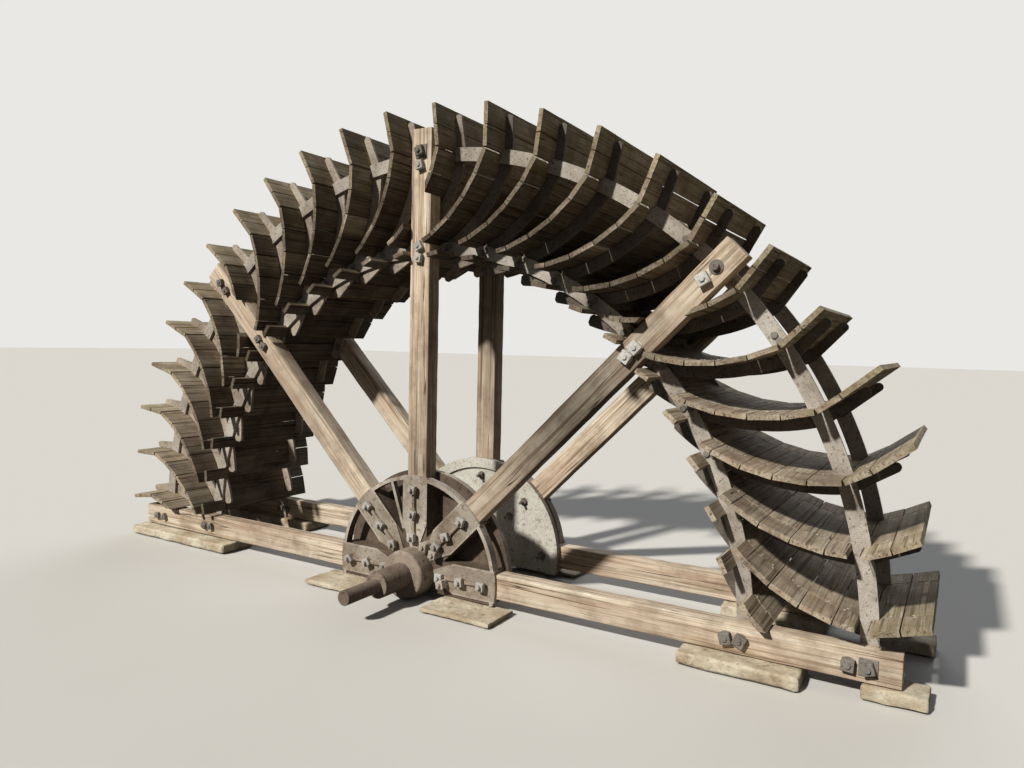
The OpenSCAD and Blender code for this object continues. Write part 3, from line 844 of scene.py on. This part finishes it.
# forged nuts on the hubs: rubbed bright, pale grey
bright_nuts = old_iron("rubbed nut iron", ("#c0bdb7", "#98928a", "#56453a"), 6, 0.4)
plate_nut = stacked(((4, 0.050 * SQUARE, 0.026, 0.004, -0.001, 45), (12, 0.0125, 0.020, 0.003, 0.024, 0)), "square nut")
lug = stacked(((16, 0.030, 0.040, 0.004, -0.004, 0), (4, 0.050 * SQUARE, 0.026, 0.004, 0.034, 20),
               (12, 0.0125, 0.016, 0.003, 0.058, 0)), "lug with its bolt")
inside_bolt = stacked(((24, 0.027, 0.005, 0.001, -0.001, 0), (4, 0.036 * SQUARE, 0.018, 0.003, 0.004, 45),
                       (12, 0.010, 0.040, 0.003, 0.020, 0)), "long bolt end")
LUGS = ((0.101, 0.170), (0.170, 0.134), (0.228, -0.033))
INSIDE_BOLTS = ((90, 0.484), (45, 0.480), (45, 0.324), (135, 0.480),
                (135, 0.324), (90, 0.324), (0, 0.480), (180, 0.480))
WEB_ANGLE, INNERMOST_45, INNER_FACE = 108.9, 0.256, -0.299
web = block((0.310, 0.034, 0.020), (0.415, PLATE_FRONT + 0.018, 0))
ease(web, 0.003, 2, 30)
for side in ("near", "far"):
    seed = random.Random(81 if side == "near" else 82)
    far = side == "far"
    copies(rib, [spot(a, 0, 0, 0, far) for a in ARMS.values()], "%s_plate_ridges" % side, browned_iron)
    copies(web, [spot(WEB_ANGLE, 0, 0, 0, far)], "%s_hub_web" % side, cast_iron)
    spots = [spot(a, INNERMOST_45 if a == 45 and r < 0.3 else r, PLATE_FRONT - RIB_HIGH, seed.uniform(-40, 40), far)
             for a in ARMS.values() for r in PLATE_BOLTS]
    copies(plate_nut, spots, "%s_hub_nuts" % side, bright_nuts)
    spots = [spot(math.degrees(math.atan2(z, x)), math.hypot(x, z), PLATE_FRONT + 0.004, seed.uniform(-40, 40), far)
             for x, z in LUGS]
    copies(lug, spots, "%s_hub_lugs" % side, cast_iron)
    spots = [spot(a, r, INNER_FACE, seed.uniform(-40, 40), far) @ BACKWARDS for a, r in INSIDE_BOLTS]
    copies(inside_bolt, spots, "%s_hub_inside_bolts" % side, forged)
for spare in (rib, web, plate_nut, lug, inside_bolt):
    bpy.data.objects.remove(spare)


# The shaft: one forged bar, thicker between the hubs and stepped down at either end to the part that
# turned in the bearings. It has gone an even brown with rust.
# forged shaft: brown rust all over, a little shine left
shaft_iron = old_iron("rusted shaft iron", ("#8b7d70", "#62554a", "#392b22"), 6, 0.6)
shaft = merged(nodes["shaft"], "rusted_shaft")
soften(shaft, 0.005)
shaft.data.materials.clear()
shaft.data.materials.append(shaft_iron)
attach(shaft, "root")
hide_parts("shaft")


# The foundation stones: five rough sandstone slabs a side, split and laid flat under the ends of the
# level arms and under the feet of the hubs. Their broken edges are worn round.
# split sandstone: pale warm beds, darker pits, and a grit that is drawn coarse enough to show
sandstone, tree = blank_material("split sandstone")
place = add(tree, "ShaderNodeTexCoord", {}, {}).outputs["Object"]
beds, grit, pits = (
    add(tree, "ShaderNodeTexNoise", {},
        {"Vector": place, "Scale": scale, "Detail": detail, "Roughness": roughness}).outputs[0]
    for scale, detail, roughness in ((5.0, 7.0, 0.65), (210.0, 3.0, 0.7), (26.0, 6.0, 0.7)))
colour = linear("#b19d80")
for pattern, starts, full, most, coat in ((beds, 0.36, 0.64, 1.0, "#e4dbc5"), (pits, 0.47, 0.34, 0.6, "#85765e")):
    amount = add(tree, "ShaderNodeMapRange", {},
                 {"Value": pattern, "From Min": starts, "From Max": full, "To Max": most})
    colour = add(tree, "ShaderNodeMix", {"data_type": "RGBA"},
                 {"Factor": amount.outputs[0], 6: colour, 7: linear(coat)}).outputs[2]
grit_tone = add(tree, "ShaderNodeMapRange", {},
                {"Value": grit, "From Min": 0.35, "From Max": 0.65, "To Min": 0.88, "To Max": 1.10})
gritty = add(tree, "ShaderNodeHueSaturation", {}, {"Value": grit_tone.outputs[0], "Color": colour})
height = add(tree, "ShaderNodeMath", {"operation": "MULTIPLY_ADD"}, {0: pits, 1: 3.0, 2: grit})
weathered(tree, gritty.outputs[0], height.outputs[0], strength=0.8, depth=0.005, roughness=0.93, specular=0.2)

# each slab: left edge, near edge, length, width and height
SLABS = ((-2.700, -0.540, 1.080, 0.290, 0.0765), (1.665, -0.540, 0.580, 0.290, 0.0765),
         (2.482, -0.448, 0.280, 0.198, 0.0765), (-0.693, -0.678, 0.380, 0.290, 0.041),
         (0.213, -0.678, 0.480, 0.290, 0.041))
WORN, VOXEL, UNDERSIDE = 0.014, 0.012, 0.001
broken = bpy.data.textures.new("split faces", "CLOUDS")
broken.noise_scale = 0.16
broken.noise_depth = 3
slabs = []
for side in (-1, 1):
    for left, near, length, width, high in SLABS:
        slab = block((length, width, high), (left + length / 2, -side * (near + width / 2), high / 2))
        ease(slab, WORN, 3, 30)
        evened = slab.modifiers.new("even mesh", "REMESH")
        evened.mode, evened.voxel_size = "VOXEL", VOXEL
        bpy.ops.object.modifier_apply(modifier=evened.name)
        roughen(slab, broken, 0.018, 0.85)
        bpy.ops.object.mode_set(mode="EDIT")
        bpy.ops.mesh.select_all(action="SELECT")
        bpy.ops.mesh.bisect(plane_co=(0, 0, UNDERSIDE), plane_no=(0, 0, 1), use_fill=True, clear_inner=True)
        bpy.ops.object.mode_set(mode="OBJECT")
        slabs.append(slab)
stones = joined(slabs, "sandstone_slabs")
bpy.ops.object.shade_smooth_by_angle(angle=math.radians(40))
stones.data.materials.append(sandstone)
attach(stones, "root")
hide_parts("foundation_stones")

low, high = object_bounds()
